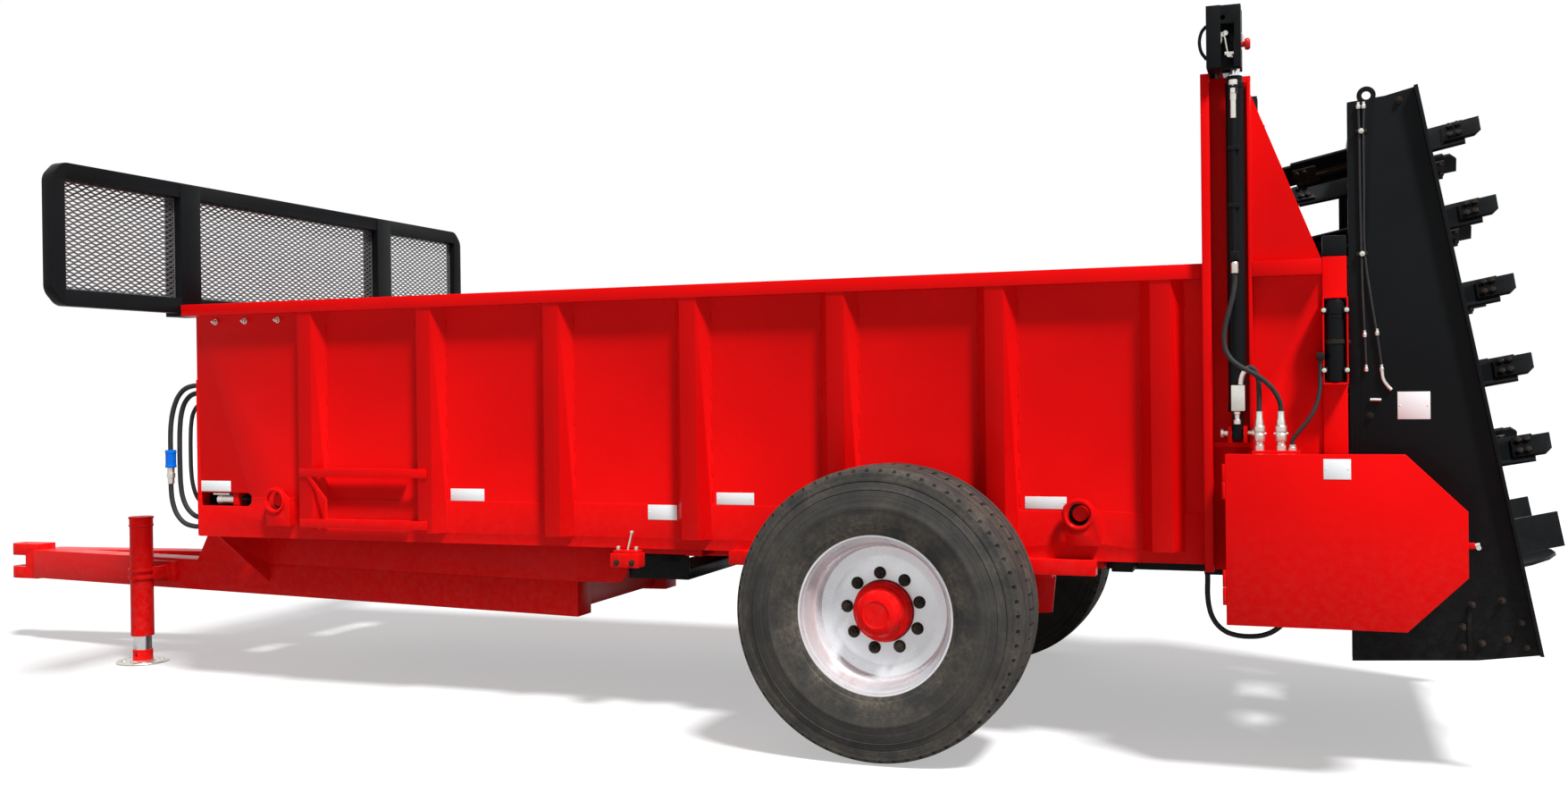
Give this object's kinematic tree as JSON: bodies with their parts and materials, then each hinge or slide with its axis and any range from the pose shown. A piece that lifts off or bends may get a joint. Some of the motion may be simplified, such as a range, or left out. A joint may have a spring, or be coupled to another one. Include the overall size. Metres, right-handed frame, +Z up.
{
  "type": "manure spreader",
  "caption": "Towed single-axle manure spreader with ribbed open box, apron floor, lifting endgate, upright rear beaters, front screen, jack and clevis hitch.",
  "frame": {"origin": "on the ground under the middle of the machine's length and width", "axes": "+X to the tail with the beaters, +Y to the machine's right, +Z up"},
  "size_m": [7.9254, 3.16, 2.732],
  "materials": {
    "red_paint": "gloss",
    "black_paint": "semi gloss",
    "chrome_rod": "polished",
    "worn_steel": "worn",
    "tyre": "matt",
    "polished_rim": "polished",
    "mesh_steel": "semi gloss",
    "zinc_fitting": "bright",
    "hose_rubber": "satin",
    "blue_sleeve": "semi gloss"
  },
  "bodies": {
    "spreader": {"drawbar": "red_paint", "hitch_clevis": "red_paint", "drawbar_deck": "red_paint", "step_beam": "black_paint", "main_frame": "red_paint", "tail_frame": "black_paint", "jack_tube": "red_paint", "left_box_side": "red_paint", "right_box_side": "red_paint", "box_front": "red_paint", "box_floor": "black_paint", "apron": "worn_steel", "left_chain_tensioner": "worn_steel", "right_chain_tensioner": "worn_steel", "steps": "red_paint", "left_gate_tower": "red_paint", "right_gate_tower": "red_paint", "left_gate_barrel": "black_paint", "right_gate_barrel": "black_paint", "left_rear_post": "red_paint", "right_rear_post": "red_paint", "left_housing_side": "black_paint", "right_housing_side": "black_paint", "housing_top_beam": "black_paint", "beater_gearcase": "black_paint", "guard_body": "red_paint", "apron_drive": "worn_steel", "left_axle_seat": "red_paint", "right_axle_seat": "red_paint", "axle_beam": "black_paint", "screen_frame": "black_paint", "left_screen_mesh": "mesh_steel", "right_screen_mesh": "mesh_steel", "middle_screen_mesh": "mesh_steel", "valve_block": "red_paint", "canister": "black_paint", "hose_ports": "zinc_fitting", "grease_lines": "hose_rubber", "hose_coupler": "blue_sleeve", "tractor_hose_outer": "hose_rubber", "tractor_hose_middle": "hose_rubber", "tractor_hose_inner": "hose_rubber", "gate_hose": "hose_rubber", "post_hose": "hose_rubber", "rear_hose": "hose_rubber"},
    "left_wheel": {"left_tyre": "tyre", "left_rim": "polished_rim", "left_hub": "red_paint"},
    "right_wheel": {"right_tyre": "tyre", "right_rim": "polished_rim", "right_hub": "red_paint"},
    "jack_foot": {"jack_leg": "chrome_rod"},
    "endgate": {"gate_panel": "black_paint", "gate_header": "black_paint", "left_gate_rod": "chrome_rod", "right_gate_rod": "chrome_rod"},
    "left_rotor": {"left_beater": "black_paint"},
    "right_rotor": {"right_beater": "black_paint"},
    "guard_door": {"guard_cover": "red_paint"},
    "drive_shaft": {"driveline": "worn_steel"}
  },
  "joints": [
    {"name": "left_wheel_spin", "type": "hinge", "parent": "spreader", "child": "left_wheel", "pos_m": [1.571, -1.071, 0.548], "axis": [0, 1, 0], "continuous": true},
    {"name": "right_wheel_spin", "type": "hinge", "parent": "spreader", "child": "right_wheel", "pos_m": [1.571, 1.071, 0.548], "axis": [0, 1, 0], "continuous": true},
    {"name": "jack_screw", "type": "slide", "parent": "spreader", "child": "jack_foot", "axis": [0, 0, 1], "range_m": [-0.3, 0.055]},
    {"name": "gate_lift", "type": "slide", "parent": "spreader", "child": "endgate", "axis": [0, 0, 1], "range_m": [0, 0.95]},
    {"name": "left_beater_spin", "type": "hinge", "parent": "spreader", "child": "left_rotor", "pos_m": [3.631, -0.384, 0.64], "axis": [-0.1878, 0, 0.9822], "continuous": true},
    {"name": "right_beater_spin", "type": "hinge", "parent": "spreader", "child": "right_rotor", "pos_m": [3.631, 0.384, 0.64], "axis": [-0.1878, 0, 0.9822], "continuous": true},
    {"name": "drive_shaft_spin", "type": "hinge", "parent": "spreader", "child": "drive_shaft", "pos_m": [1.571, 0, 0.64], "axis": [1, 0, 0], "continuous": true},
    {"name": "guard_hinge", "type": "hinge", "parent": "spreader", "child": "guard_door", "pos_m": [2.792, -1.084, 0.84], "axis": [0, 0, 1], "range_deg": [-115, 0]}
  ],
  "couplings": [
    {"joint": "right_beater_spin", "follows": "left_beater_spin", "ratio": -1},
    {"joint": "drive_shaft_spin", "follows": "left_beater_spin", "ratio": 2}
  ]
}
